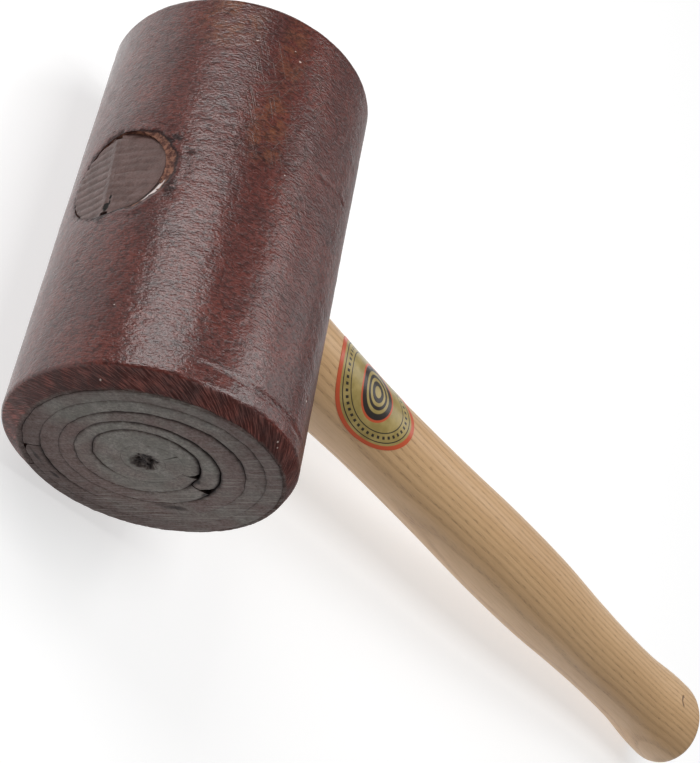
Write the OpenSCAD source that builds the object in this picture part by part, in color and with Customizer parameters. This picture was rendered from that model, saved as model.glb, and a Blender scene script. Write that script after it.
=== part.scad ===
// Rawhide mallet: a head wound from strips of hide, turned to a cylinder and bored for a wedged ash handle.
//
// The mallet lies on its side, as on a bench: the head's wall and the handle's butt both touch the plane
// z = -head_d / 2, so the handle slopes down a little towards the butt.
// Origin: the centre of the front striking face. +Y runs along the head to the rear face, +X towards the
// grip and +Z up. Lengths are in millimetres.

/* [Head] */
// Diameter of the head
head_d = 70; // [64:1:76]
// Length of the head from face to face
head_len = 120; // [110:1:130]
// Radial width of the chamfer round each face
chamfer_w = 3.8; // [2:0.1:5]
// Length of the chamfer along the head
chamfer_len = 3.8; // [2:0.1:5]
// Clear glue line between two turns of the wound hide
glue_line = 0.12; // [0.08:0.01:0.3]
// Butt gap between the ends of two strips
butt_gap = 0.5; // [0.2:0.1:1.5]
// Length over which a strip's tail end is skived
skive_len = 3; // [1:0.5:5]
// Depth of the skive at the very end of a strip
skive_depth = 1.4; // [0.4:0.1:2]
// Diameter of the torn pit at the middle of each face
pit_d = 5.6; // [3:0.1:7]
// Depth of that pit
pit_depth = 2; // [1:0.1:2.8]

/* [Eye] */
// Diameter of the handle where it shows at the far side of the head
eye_d = 26; // [22:0.5:28]
// Growth of the eye's diameter over the width of the head, towards the grip
eye_taper = 1.4; // [0:0.1:3]
// Clearance all round between the tenon and the eye
eye_clearance = 0.05; // [0.02:0.01:0.2]
// How far the scraped relief beside the handle's end reaches past the eye
relief_reach = 2.6; // [1:0.1:4]
// Depth of that relief below the head's wall
relief_depth = 1; // [0.3:0.1:2]

/* [Wedge] */
// Turn of the wedge from the head's axis
wedge_turn = -6; // [-15:1:15]
// Offset of the wedge from the middle of the tenon
wedge_offset = -0.7; // [-2:0.1:2]
// Thickness of the wedge at its driven end
wedge_t = 2.2; // [1.5:0.1:3.5]
// Thickness of the wedge at its tip, and of the saw kerf
kerf_t = 1; // [0.6:0.1:1.4]
// Depth that the wedge is driven to
wedge_len = 34; // [20:1:40]
// Width of the wedge
wedge_w = 23.6; // [18:0.1:25]
// Depth of the saw kerf
kerf_len = 44; // [40:1:50]
// Slope of the flat cut on the upper side of the tenon's end
upper_cut = 13; // [0:1:18]
// Slope of the flat cut on its lower side
lower_cut = 9; // [0:1:18]

/* [Handle] */
// Distance from the head's axis to the end of the butt
handle_end = 311; // [290:1:330]
// Ratio of the grip's height to its width
grip_ratio = 0.88; // [0.8:0.01:1]
// Rounding of the butt's edge
butt_round = 4.5; // [2:0.5:8]

/* [Label] */
// Distance from the head's axis to the middle of the label
label_at = 68; // [62:1:90]
// Length of the oval label along the handle
label_l = 42; // [30:1:46]
// Width of the label, measured round the handle
label_w = 30; // [20:1:34]
// Thickness of the label
label_t = 0.15; // [0.1:0.05:0.4]

/* [Hidden] */
$fn = 96;

// Radius of the seam between two turns of hide, at each quarter turn. The winding starts straight above
// the middle and goes clockwise, as seen from the front; one full turn is four entries.
seam_radii = [4.6, 4.4, 5, 7.4,  9, 8.3, 10.5, 14.4,  12.9, 12.7, 15.8, 17.8,  16.8, 18.2, 19.8, 21.4,
              22.8, 23.5, 24.4, 25.8,  27.6, 28, 28.5, 29.8,  31.3, 32.4, 33.6, 34.6];
// The quarter turn at which each strip starts, and at which the last one ends
strip_starts = [0, 4.6, 8.8, 13.2, 18.4, 22.2, 26.2];
// Half-width of the grip at each distance from the head's axis
grip_profile = [[34, 13.55], [42, 13.6], [60, 13.3], [90, 13.5], [125, 14.3], [160, 15.6], [195, 15.95],
                [225, 15.05], [250, 14.7], [275, 15.1], [295, 16.7], [handle_end, 17.2]];
// The grip turns from round to oval between these two distances
oval_from = 40;
oval_to = 90;

head_r = head_d / 2;
eye_r = eye_d / 2;
quarter = 90;              // degrees in one quarter turn of the winding
turn = 4;                  // quarter turns in one turn
seam_step = 0.1;           // quarter turns between two points of a seam
grip_step = 12;            // distance between two rings of the grip
ring_sides = 32;
past = 1;                  // how far a cutting tool runs past what it cuts

hide = [0.36, 0.17, 0.15];
raw_hide = [0.42, 0.36, 0.30];
ash = [0.80, 0.66, 0.48];
wedge_wood = [0.62, 0.45, 0.32];
gold = [0.80, 0.68, 0.33];

// ---- Curves ----

// Cubic between the values b and c, where a and d are the values on either side of them
function blend4(a, b, c, d, t) =
    b + t * (c - a + t * (2 * a - 5 * b + 4 * c - d + t * (3 * (b - c) + d - a))) / 2;

function seam_value(i) = seam_radii[max(0, min(len(seam_radii) - 1, i))];

// Radius of the seam at the winding position w, counted in quarter turns
function seam_r(w) =
    let (i = floor(w))
    blend4(seam_value(i - 1), seam_value(i), seam_value(i + 1), seam_value(i + 2), w - i);

// Point at radius r and winding position w, with the face's right in x and its top in y
function coil_point(r, w) = [r * sin(w * quarter), r * cos(w * quarter)];

// Slope of the profile at its point i
function profile_slope(p, i) =
    let (a = p[max(0, i - 1)], b = p[min(len(p) - 1, i + 1)])
    (b[1] - a[1]) / (b[0] - a[0]);

// Value of the profile at x: a smooth curve through all its points
function profile_at(p, x, i = 0) =
    x > p[i + 1][0] && i < len(p) - 2 ? profile_at(p, x, i + 1) :
    let (h = p[i + 1][0] - p[i][0], t = (x - p[i][0]) / h,
         m0 = profile_slope(p, i) * h, m1 = profile_slope(p, i + 1) * h)
    p[i][1] * (1 + 2 * t) * pow(1 - t, 2) + m0 * t * pow(1 - t, 2)
    + p[i + 1][1] * t * t * (3 - 2 * t) + m1 * t * t * (t - 1);

function smooth(t) = let (c = max(0, min(1, t))) c * c * (3 - 2 * c);

// Height of the grip's section over its width
function ratio_at(x) = 1 + (grip_ratio - 1) * smooth((x - oval_from) / (oval_to - oval_from));

// The grip's rings, each as [distance, half-width, half-height]; the last ones round the butt's edge
body_rings = [for (x = [grip_profile[0][0] : grip_step : handle_end - butt_round - 2])
    let (w = profile_at(grip_profile, x)) [x, w, w * ratio_at(x)]];
butt_rings = [for (a = [0 : 15 : 90])
    let (x = handle_end - butt_round * (1 - sin(a)), drop = butt_round * (1 - cos(a)),
         w = profile_at(grip_profile, x))
    [x, w - drop, w * ratio_at(x) - drop]];
grip_rings = concat(body_rings, butt_rings);

// The handle tips down until the butt touches the plane that the head lies on
rest_tilt = min([for (r = butt_rings) asin(head_r / norm([r[0], r[2]])) - atan(r[2] / r[0])]);

// ---- Helpers ----

// Moves a shape from the head's own frame, centred on the eye, to the resting place
module place() {
    translate([0, head_len / 2, 0]) rotate([0, rest_tilt, 0]) children();
}

// Extrudes an outline drawn on the front face along the whole head
module along_head(length = head_len) {
    translate([0, length / 2, 0]) rotate([90, 0, 0]) linear_extrude(length) children();
}

// The turned head without its eye
module turned_head() {
    rotate([90, 0, 0]) rotate_extrude()
        polygon([[0, -head_len / 2], [head_r - chamfer_w, -head_len / 2],
                 [head_r, chamfer_len - head_len / 2], [head_r, head_len / 2 - chamfer_len],
                 [head_r - chamfer_w, head_len / 2], [0, head_len / 2]]);
}

// Tapered plug along the handle, through the whole head; grow widens it all round
module eye_plug(grow = 0) {
    half = head_r + past;
    slope = eye_taper / 2 / head_d;
    translate([-half, 0, 0]) rotate([0, 90, 0])
        cylinder(h = 2 * half, r1 = eye_r + grow - past * slope,
                 r2 = eye_r + grow + (head_d + past) * slope);
}

// The pits torn at the middle of both faces
module face_pits() {
    ball_r = (pow(pit_d / 2, 2) + pow(pit_depth, 2)) / (2 * pit_depth);
    for (end = [-1, 1])
        translate([-1.2, end * (head_len / 2 + ball_r - pit_depth), 0.8]) sphere(ball_r);
}

// The scrape that the trimming of the handle's end left in the hide beside it
module eye_relief() {
    reach = 0.6;
    translate([-head_r - past, 0, relief_reach - reach]) rotate([0, 90, 0])
        cylinder(h = past + head_r - sqrt(pow(head_r, 2) - pow(eye_r, 2)) + relief_depth, r = eye_r + reach);
}

// Winding positions from w0, a whole number of seam steps, to just before w1, which stops short of a step
function strip_steps(w0, w1) =
    concat([for (k = [round(w0 / seam_step) : ceil(w1 / seam_step) - 1]) k * seam_step], [w1]);

function reversed(list) = [for (i = [len(list) - 1 : -1 : 0]) list[i]];

// Outline of the strip that is wound from w0 to w1, with its tail end skived on the outside
module strip_outline(w0, w1) {
    last = w1 - butt_gap / seam_r(w1) * 2 / PI;
    skive = skive_len / seam_r(w1 + turn) * 2 / PI;
    steps = strip_steps(w0, last);
    inner = [for (w = steps) coil_point(seam_r(w), w)];
    outer = [for (w = steps)
        coil_point(seam_r(w + turn) - glue_line - skive_depth * max(0, 1 - (last - w) / skive), w)];
    polygon(concat(inner, reversed(outer)));
}

// Outline of the outermost strip, which runs out past the wall to be turned to it
module wrap_outline(w0, w1) {
    last = w1 - butt_gap / head_r * 2 / PI;
    steps = strip_steps(w0, last);
    inner = [for (w = steps) coil_point(seam_r(w), w)];
    outer = [for (w = steps) coil_point(head_r + past, w)];
    polygon(concat(inner, reversed(outer)));
}

// Cuts a wound outline to the turned head and bores the eye
module wound_piece() {
    difference() {
        intersection() {
            along_head() children();
            turned_head();
        }
        eye_plug(eye_clearance);
    }
}

// Keeps the half of a wound piece in front of the eye (side = -1) or behind it (side = 1)
module half_of_head(side) {
    intersection() {
        children();
        translate([-head_r, side < 0 ? -head_len : 0, -head_r]) cube([head_d, head_len, head_d]);
    }
}

// The space behind the two flat cuts that trim the tenon, with the cuts' ridge along the wedge
module trimmed_side(proud = 0) {
    reach = eye_r + 2;
    rotate([wedge_turn, 0, 0]) translate([0, reach, wedge_offset]) rotate([90, 0, 0])
        linear_extrude(2 * reach)
            polygon([[-head_r + 0.3 - proud, 0],
                     [-head_r + 0.3 - proud + reach * tan(upper_cut), reach],
                     [head_d, reach], [head_d, -reach],
                     [-head_r + 0.3 - proud + reach * tan(lower_cut), -reach]]);
}

// A slot or wedge across the tenon: t0 thick at the head's wall and kerf_t thick from tip onwards
module across_tenon(width, t0, tip, depth) {
    start = -head_r - past;
    rotate([wedge_turn, 0, 0]) translate([0, width / 2, wedge_offset]) rotate([90, 0, 0])
        linear_extrude(width)
            polygon([[start, -t0 / 2], [start + tip, -kerf_t / 2], [start + depth, -kerf_t / 2],
                     [start + depth, kerf_t / 2], [start + tip, kerf_t / 2], [start, t0 / 2]]);
}

// The oval grip, swept through its rings; grow lifts its skin all round
module grip(grow = 0, rings = grip_rings) {
    n = ring_sides;
    last = len(rings) - 1;
    points = [for (r = rings) for (k = [0 : n - 1])
        [r[0], (r[1] + grow) * cos(k * 360 / n), (r[2] + grow) * sin(k * 360 / n)]];
    sides = [for (i = [0 : last - 1]) for (k = [0 : n - 1]) let (m = (k + 1) % n)
        [i * n + m, i * n + k, (i + 1) * n + k, (i + 1) * n + m]];
    polyhedron(points, concat(sides, [[for (k = [0 : n - 1]) k]], [[for (k = [n - 1 : -1 : 0]) last * n + k]]),
               convexity = 4);
}

// ---- Sub-parts ----

module core_roll(side) {
    outline = [for (w = strip_steps(0, turn)) coil_point(seam_r(w) - glue_line, w)];
    color(raw_hide) place() half_of_head(side) difference() {
        wound_piece() polygon(outline);
        face_pits();
    }
}

module severed_strip(i, side) {
    color(raw_hide) place() half_of_head(side)
        wound_piece() strip_outline(strip_starts[i], strip_starts[i + 1]);
}

module hide_strip(i) {
    color(raw_hide) place() wound_piece() strip_outline(strip_starts[i], strip_starts[i + 1]);
}

module outer_wrap() {
    color(hide) place() difference() {
        wound_piece() wrap_outline(strip_starts[5], strip_starts[6]);
        eye_relief();
    }
}

module handle() {
    color(ash) place() union() {
        difference() {
            intersection() {
                eye_plug();
                trimmed_side();
            }
            across_tenon(eye_d + 4, wedge_t, wedge_len, kerf_len);
        }
        grip();
    }
}

module wedge() {
    fit = 0.04;
    color(wedge_wood) place() intersection() {
        across_tenon(wedge_w, wedge_t - fit, wedge_len, wedge_len);
        trimmed_side(0.2);
    }
}

// A foil label that follows the handle's upper side
module label() {
    around = label_w / 2;
    r = profile_at(grip_profile, label_at);
    outline = [for (a = [0 : 7.5 : 352.5])
        [label_at + label_l / 2 * cos(a), r * sin(around * sin(a) / r * 180 / PI)]];
    near = [for (g = grip_rings) if (abs(g[0] - label_at) < label_l / 2 + 2 * grip_step) g];
    color(gold) place() intersection() {
        difference() {
            grip(label_t, near);
            grip(0, grip_rings);
        }
        linear_extrude(head_r) polygon(outline);
    }
}

core_roll(-1);  // core_roll_front
core_roll(1);  // core_roll_rear
severed_strip(0, -1);  // hide_strip_1_front
severed_strip(0, 1);  // hide_strip_1_rear
hide_strip(1);  // hide_strip_2
hide_strip(2);  // hide_strip_3
hide_strip(3);  // hide_strip_4
hide_strip(4);  // hide_strip_5
outer_wrap();  // hide_strip_6
handle();
wedge();
label();
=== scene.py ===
"""A rawhide mallet: a head wound from strips of hide on a wedged ash handle, lying on its side.

Everything is worked out in millimetres in the head's own frame, centred on the eye: x along the handle
towards the grip, y along the head towards its rear face and z up. place() turns such points by the
handle's rest tilt into the frame of the CAD model, in metres.
"""
import functools
import itertools
import math

import bpy
import numpy as np
from mathutils import Matrix, Vector


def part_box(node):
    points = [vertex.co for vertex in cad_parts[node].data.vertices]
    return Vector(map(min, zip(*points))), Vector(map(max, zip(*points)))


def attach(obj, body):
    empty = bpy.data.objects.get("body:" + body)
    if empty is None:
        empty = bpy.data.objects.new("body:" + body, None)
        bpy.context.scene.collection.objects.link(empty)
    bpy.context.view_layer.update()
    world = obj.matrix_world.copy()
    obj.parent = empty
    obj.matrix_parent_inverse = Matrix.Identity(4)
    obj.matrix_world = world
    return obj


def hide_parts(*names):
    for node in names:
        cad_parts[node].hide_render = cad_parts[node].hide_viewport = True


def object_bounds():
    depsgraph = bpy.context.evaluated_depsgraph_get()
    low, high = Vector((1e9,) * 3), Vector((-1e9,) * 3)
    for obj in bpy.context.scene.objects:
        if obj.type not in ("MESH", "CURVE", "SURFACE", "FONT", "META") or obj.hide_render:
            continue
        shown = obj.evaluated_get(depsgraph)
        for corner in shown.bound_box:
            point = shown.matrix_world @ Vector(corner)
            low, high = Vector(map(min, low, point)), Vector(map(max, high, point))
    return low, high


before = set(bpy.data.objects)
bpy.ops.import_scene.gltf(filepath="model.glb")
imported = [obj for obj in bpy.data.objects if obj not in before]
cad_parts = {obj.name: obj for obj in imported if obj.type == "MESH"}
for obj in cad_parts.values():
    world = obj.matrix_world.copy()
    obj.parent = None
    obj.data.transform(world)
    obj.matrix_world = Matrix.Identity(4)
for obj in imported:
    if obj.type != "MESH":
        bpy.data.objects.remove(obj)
CAD_LOW, CAD_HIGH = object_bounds()

MM = 0.001
QUARTER = math.pi / 2
TURN = 4                       # quarter turns in one turn of the winding

# ---- Sizes, as the CAD model has them ----

WRAP_LOW, WRAP_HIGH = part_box("hide_strip_6")
HEAD_R = (WRAP_HIGH.z - WRAP_LOW.z) / 2 / MM
HEAD_LEN = (WRAP_HIGH.y - WRAP_LOW.y) / MM
FACE_Y = HEAD_LEN / 2          # distance of both faces from the eye
CHAMFER = 3.8
EYE_R = 13.0
EYE_TAPER = 1.4
HANDLE_END = 311.0
GRIP_RATIO = 0.88
BUTT_ROUND, BUTT_CROWN = 4.5, 0.9
TENON_END = 33.5
HANDLE_SIDES = 128
OVAL_FROM, OVAL_TO = 40.0, 90.0
WEDGE_TURN = math.radians(-6)
WEDGE_OFFSET = -0.7
WEDGE_T, KERF_T = 2.2, 1.0
WEDGE_LEN, KERF_LEN, WEDGE_W = 34.0, 44.0, 23.6
UPPER_CUT, LOWER_CUT = math.radians(13), math.radians(9)
LABEL_AT, LABEL_L, LABEL_W, LABEL_T = 68.0, 42.0, 30.0, 0.13
CORE = (-0.9, 0.1)             # middle of the coil's core on the face, in x and z

SAW_LEAN = math.radians(19)    # the saw's marks run up the face, leaning this far towards +x
WALL_AWAY = 72.0               # the direction opposite the wall's own seam, in degrees from +x towards +z
SAW_SPACING, SAW_DEPTH = 0.9, 0.03
PIT_DEPTH = 0.75               # of the pit torn in the core
GROOVE_SPACING, GROOVE_DEPTH = 2.3, 0.32    # the rasp's grooves in the tenon's end
CHIP_DEPTH = 0.3               # of the chip at the kerf's front end
RING_SPACING = 2.05            # the handle's growth rings
DENT_AT, DENT_R = (293.5, 0.6), 2.0    # the curved dent on the butt, in x and y
STEP = 0.7                     # between the sections of a strip, along its winding
TURNS = 7                      # turns of the seam, from the core to the wall
FRONT_SEED, REAR_SEED = 41, 71         # of the wear of the two faces
SHARP_FROM = math.radians(50)  # between faces that meet in a sharp edge

# Depths along the head for the sides of a strip, close together near the faces
NEAR_FACE = np.array([0.5, 1.1, 2.0, 3.4, 6.0, 12.0])
SIDE_DEPTHS = np.concatenate([NEAR_FACE - FACE_Y, np.linspace(22 - FACE_Y, FACE_Y - 22, 5),
                              (FACE_Y - NEAR_FACE)[::-1]])

# ---- The studio, in metres, and the camera in the head's own frame ----

FLOOR_HALF, FLOOR_GAP = 3.0, 0.0004
# The rectangle round the mallet where the floor glows with painted light, which washes out the shadows on
# it: its middle, its half-sizes and how far its edges fade
GLOW_MIDDLE, GLOW_HALF, GLOW_FADE = (0.18, 0.23), (0.27, 0.34), 0.22
CAMERA_EYE, CAMERA_AIM = (-216.26, -222.99, 217.48), (70.77, 8.06, 0.0)
CAMERA_ROLL = math.radians(74.98)

# ---- Marks and wear, in millimetres and degrees ----

# Radius of the seam between two turns of hide at each quarter turn, from straight above and clockwise
SEAM_RADII = [4.6, 4.4, 5, 7.4, 9, 8.3, 10.5, 14.4, 12.9, 12.7, 15.8, 17.8, 16.8, 18.2, 19.8, 21.4,
              22.8, 23.5, 24.4, 25.8, 27.6, 28, 28.5, 29.8, 31.3, 32.4, 33.6, 34.6]
# The quarter turn at which each strip starts, and at which the last one ends
STRIP_STARTS = [0, 4.6, 8.8, 13.2, 18.4, 22.2, 26.2]
# How far the seam has opened along the winding, as quarter turn and share
SEAM_OPEN = [(0, 0.12), (5.5, 0.12), (5.9, 0.2), (6.15, 0.45), (6.8, 0.55), (7.4, 0.45), (8.1, 0.7),
             (8.7, 1.0), (9.0, 0.3), (10.2, 0.3), (11.2, 0.5), (12.2, 0.7), (12.7, 0.9), (13.1, 0.3),
             (14.4, 0.25), (15.3, 0.55), (16.2, 0.6), (16.5, 0.3), (16.9, 0.12), (17.7, 0.15),
             (18.0, 0.45), (18.2, 0.7), (18.6, 0.25), (20.2, 0.35), (21.0, 0.15), (22.0, 0.2),
             (22.6, 0.4), (24.4, 0.3), (25.0, 0.15), (26.2, 0.2)]
# How far each strip's tail is cut back from the next turn, over what length, and the gap left at its end
TAIL_CUTS = [(1.5, 2.2, 0.22), (2.3, 3.6, 0.35), (0.1, 2.0, 0.06), (0.9, 2.5, 0.35), (0.5, 2.0, 0.3)]
# Stains on the face: place in x and z, half-length and half-width, lean and depth of tone
STAINS = [(18.2, -8.4, 5.2, 1.7, 62, 0.42), (19.8, -6.0, 3.3, 1.5, 58, 0.72),
          (-3.2, -26.0, 3.4, 0.5, -2, 1.0), (-12.5, -24.0, 7.0, 0.5, -18, 0.7),
          (11.2, 6.6, 1.4, 1.0, -60, 0.9), (16.9, 4.6, 2.3, 1.0, -55, 1.0)]
# Chips in the lacquer: angle on the wall, place along the head and size
CHIPS = [(134.0, 44.0, 0.9), (114.5, 43.0, 1.0), (117.5, 45.5, 0.6), (110.0, 7.2, 0.6), (68.5, -41.5, 1.3),
         (161.0, -40.4, 0.6), (160.5, -58.4, 0.7), (82.0, -57.6, 0.8), (79.8, -58.3, 0.6)]
# Dark smudges on the wall round the eye, partly painted shade beside its rim: angle, half-width round the
# wall, place and half-length along it
SMUDGES_AND_SHADE = [(179.0, 2.2, (-14.4, 1.5)), (152.5, 2.2, (-6.4, 4.4)), (156.0, 3.0, (8.5, 2.2))]
# How brown each strip is along the winding, as quarter turn and share
BROWN_BANDS = [(-4, 0.0), (8.6, 0.05), (9.0, 0.15), (10.5, 0.5), (11.3, 0.75), (12.9, 0.85), (13.3, 0.3),
               (15.0, 0.2), (17.0, 0.25), (18.5, 0.6), (19.4, 0.5), (20.4, 0.3), (21.5, 0.6), (26.3, 0.65)]
# Half-width of the grip at each distance from the head's axis
GRIP_PROFILE = [(34, 13.55), (42, 13.6), (60, 13.3), (90, 13.5), (125, 14.3), (160, 15.6), (195, 15.95),
                (225, 15.05), (250, 14.7), (275, 15.1), (295, 16.7), (HANDLE_END, 17.2)]


# ---- Curves ----

def seam_r(w):
    """Radius of the seam at the winding positions w, counted in quarter turns."""
    w = np.asarray(w, float)
    i = np.floor(w).astype(int)
    t = w - i
    last = len(SEAM_RADII) - 1
    a, b, c, d = (np.take(SEAM_RADII, np.clip(i + k, 0, last)) for k in (-1, 0, 1, 2))
    return b + t * (c - a + t * (2 * a - 5 * b + 4 * c - d + t * (3 * (b - c) + d - a))) / 2


def grip_w(x):
    """Half-width of the grip at the distances x: a smooth curve through the profile's points."""
    px, pw = (np.array(c, float) for c in zip(*GRIP_PROFILE))
    last = len(px) - 1
    after, before = np.minimum(np.arange(last + 1) + 1, last), np.maximum(np.arange(last + 1) - 1, 0)
    slope = (pw[after] - pw[before]) / (px[after] - px[before])
    i = np.clip(np.searchsorted(px, x) - 1, 0, last - 1)
    h = px[i + 1] - px[i]
    t = (x - px[i]) / h
    return (pw[i] * (1 + 2 * t) * (1 - t) ** 2 + slope[i] * h * t * (1 - t) ** 2
            + pw[i + 1] * t * t * (3 - 2 * t) + slope[i + 1] * h * t * t * (t - 1))


def smooth(low, high, x):
    """0 below low, 1 above high and a smooth step between."""
    t = np.clip((np.asarray(x, float) - low) / (high - low), 0, 1)
    return t * t * (3 - 2 * t)


def bump(x, middle, width):
    """A smooth hump of height 1 at middle that has faded by about width on each side."""
    return np.exp(-((np.asarray(x, float) - middle) / (0.5 * width)) ** 2)


def grip_ratio(x):
    """Height of the grip's section over its width."""
    return 1 + (GRIP_RATIO - 1) * smooth(OVAL_FROM, OVAL_TO, x)


def butt_ring(angle):
    """Distance, half-width and half-height of the ring that far round the butt's edge."""
    x = HANDLE_END - BUTT_ROUND * (1 - np.sin(angle))
    drop = BUTT_ROUND * (1 - np.cos(angle))
    return x, grip_w(x) - drop, grip_w(x) * grip_ratio(x) - drop


def rest_tilt():
    """The angle at which the head's wall and the butt lie on one plane."""
    x, _, h = butt_ring(np.radians(np.arange(0, 91, 15)))
    return float(np.min(np.arcsin(HEAD_R / np.hypot(x, h)) - np.arctan(h / x)))


TILT = rest_tilt()


def xyz(*parts):
    """Points from their three coordinates, each a number or an array."""
    return np.stack(np.broadcast_arrays(*parts), -1)


def full_turn(count):
    """Angles that divide a full turn into equal steps."""
    return np.linspace(0, 2 * np.pi, count, endpoint=False)


def place(points):
    """Points of the head's own frame, in millimetres, to the CAD model's frame, in metres."""
    x, y, z = np.moveaxis(np.asarray(points, float), -1, 0)
    c, s = math.cos(TILT), math.sin(TILT)
    return xyz(x * c + z * s, y + FACE_Y, z * c - x * s) * MM


# ---- Noise ----

def perlin(p, seed):
    """Gradient noise, from about -1 to 1, at each row of p."""
    rng = np.random.default_rng(seed)
    mix = rng.permutation(256)
    grads = rng.normal(size=(256, 3))
    grads /= np.linalg.norm(grads, axis=1)[:, None]
    cell = np.floor(p).astype(int)
    f = p - cell
    u = f * f * f * (f * (f * 6 - 15) + 10)
    total = np.zeros(len(p))
    for corner in itertools.product((0, 1), repeat=3):
        i, j, k = ((cell + corner) % 256).T
        pick = mix[(mix[(mix[i] + j) % 256] + k) % 256]
        weight = np.prod(np.where(np.array(corner) > 0, u, 1 - u), axis=1)
        total += weight * np.einsum("ij,ij->i", grads[pick], f - corner)
    return total * 1.5


def fbm(p, size, seed, octaves=3, stretch=(1, 1, 1)):
    """Layered noise over points in millimetres, with its largest features size across."""
    shape = p.shape[:-1]
    q = p.reshape(-1, 3) / (size * np.array(stretch, float))
    total = sum(perlin(q * 2 ** i, seed + i) / 2 ** i for i in range(octaves))
    return total.reshape(shape)


# ---- Mesh building ----

def make_mesh(name, verts, faces):
    mesh = bpy.data.meshes.new(name)
    mesh.from_pydata([tuple(v) for v in verts], [], faces)
    mesh.validate()
    mesh.shade_smooth()
    obj = bpy.data.objects.new(name, mesh)
    bpy.context.scene.collection.objects.link(obj)
    return obj


def sweep(name, loops, *tips):
    """A closed solid through a row of closed loops, of shape (rows, ring, 3), in the head's own frame.

    Its ends are drawn together to the tips, the first loop's first. An end without a tip has a flat cap.
    """
    rows, ring = loops.shape[:2]
    faces = [(i * ring + j, i * ring + (j + 1) % ring, (i + 1) * ring + (j + 1) % ring, (i + 1) * ring + j)
             for i in range(rows - 1) for j in range(ring)]
    for count, edge in enumerate((range(ring)[::-1], range((rows - 1) * ring, rows * ring))):
        if count < len(tips):
            faces += [(rows * ring + count, edge[j], edge[(j + 1) % ring]) for j in range(ring)]
        else:
            faces.append(tuple(edge))
    points = np.concatenate([loops.reshape(-1, 3), np.reshape(tips, (-1, 3))])
    return make_mesh(name, place(points), faces)


def fix_normals(obj):
    bpy.context.view_layer.objects.active = obj
    obj.select_set(True)
    bpy.ops.object.mode_set(mode="EDIT")
    bpy.ops.mesh.select_all(action="SELECT")
    bpy.ops.mesh.normals_make_consistent(inside=False)
    bpy.ops.object.mode_set(mode="OBJECT")
    obj.select_set(False)


def cut(obj, cutter):
    """Cuts obj with another solid and drops that solid."""
    for o in (obj, cutter):
        fix_normals(o)
    modifier = obj.modifiers.new("cut", "BOOLEAN")
    modifier.operation = "DIFFERENCE"
    modifier.solver = "MANIFOLD"
    modifier.object = cutter
    bpy.context.view_layer.objects.active = obj
    bpy.ops.object.modifier_apply(modifier=modifier.name)
    bpy.data.objects.remove(cutter)
    if not len(obj.data.polygons):
        raise RuntimeError(f"the cut left nothing of {obj.name}")
    return obj


def eye_radius(x):
    """Radius of the tenon and its tapered eye at the distances x."""
    return EYE_R + (x + HEAD_R) * EYE_TAPER / 2 / (2 * HEAD_R)


def eye_cutter():
    """The eye, a little wider than the tenon, most of all towards the front face."""
    x = np.array([[-HEAD_R - 3], [HEAD_R + 3]])
    radius = eye_radius(x) + 0.1
    a = full_turn(192)
    return sweep("eye_cutter", xyz(x, radius * np.cos(a) - 0.12, radius * np.sin(a)))


# ---- The coil ----

def seam_strength(w):
    """How far the seam has opened at the winding positions w, from 0 to 1."""
    places, shares = zip(*SEAM_OPEN)
    return np.interp(w, places, shares)


def winding_at(x, z):
    """Winding position within its turn, from 0 to 4, at a point of the face."""
    return (1 - np.arctan2(z, x) / QUARTER) % TURN


def seam(w):
    """Radius of the seam at the winding positions w, with its small sideways wander."""
    r = seam_r(w)
    p = xyz(r * np.sin(w * QUARTER), r * np.cos(w * QUARTER), 3.7)
    return r + 0.22 * fbm(p, 4.0, 11, 2) + 0.08 * fbm(p, 1.1, 17, 2)


def coil_points(r, w, y):
    """Points at radius r, winding position w and depth y along the head."""
    return xyz(r * np.sin(w * QUARTER), y, r * np.cos(w * QUARTER))


def pit_distance(x, z, flat, seed):
    """Distance from the middle of the pit torn in the core, its outline made ragged."""
    return np.hypot(x - CORE[0], z - CORE[1]) + 0.8 * fbm(flat, 2.4, seed + 9, 3)


def face_relief(p, seed):
    """How far the worn face lies below its true plane at points p, in the face's own x and z."""
    x, z = p[..., 0], p[..., 2]
    flat = xyz(x, seed, z)
    r = np.hypot(x, z)
    worn = 0.05 + 0.05 * fbm(flat, 9.0, seed, 2) + 0.04 * fbm(flat, 1.3, seed + 5, 3)
    across = x * math.cos(SAW_LEAN) - z * math.sin(SAW_LEAN)
    saw = SAW_DEPTH * np.sin(2 * np.pi * across / SAW_SPACING + 1.2 * fbm(flat, 12.0, seed + 7, 1))
    saw = saw * smooth(-6, 12, x)
    from_pit = pit_distance(x, z, flat, seed)
    pit = PIT_DEPTH * (1 - smooth(1.6, 4.0, from_pit)) * (1 + 0.7 * fbm(flat, 0.9, seed + 13, 2))
    return np.clip(worn + saw, 0.01, None) + pit + chamfer_depth(r, np.arctan2(z, x))


def chamfer_width(angle):
    """Width of the chamfer round the face, which was dressed off-centre."""
    return 3.65 - 1.7 * np.cos(angle) - 0.2 * np.sin(angle) - 0.35 * np.cos(2 * angle)


def chamfer_depth(r, angle):
    """How far the chamfer lies below the face's plane at radius r."""
    width = chamfer_width(angle)
    return np.clip(r - HEAD_R + width, 0, None) * CHAMFER / width


def clustered(n, power=0.75):
    """n places from 0 to 1, closer together towards both ends."""
    t = np.linspace(-1, 1, n)
    return 0.5 + 0.5 * np.sin(t * np.pi / 2) * power + 0.5 * t * (1 - power)


def side_y(front, rear):
    """Depths along a strip's side, in order between its edges on the two faces."""
    share = (SIDE_DEPTHS + FACE_Y) / (2 * FACE_Y)
    return front[:, None] + (rear - front)[:, None] * share


def seam_gap(w):
    """Half the gap of the seam at the face."""
    return 0.012 + 0.17 * seam_strength(w) ** 1.4


def lip_depth(w, distance):
    """How far a strip's edge is worn down beside its seam."""
    share = seam_strength(w)
    return (0.015 + 0.48 * share ** 1.3) * np.exp(-distance / 0.4)


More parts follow.
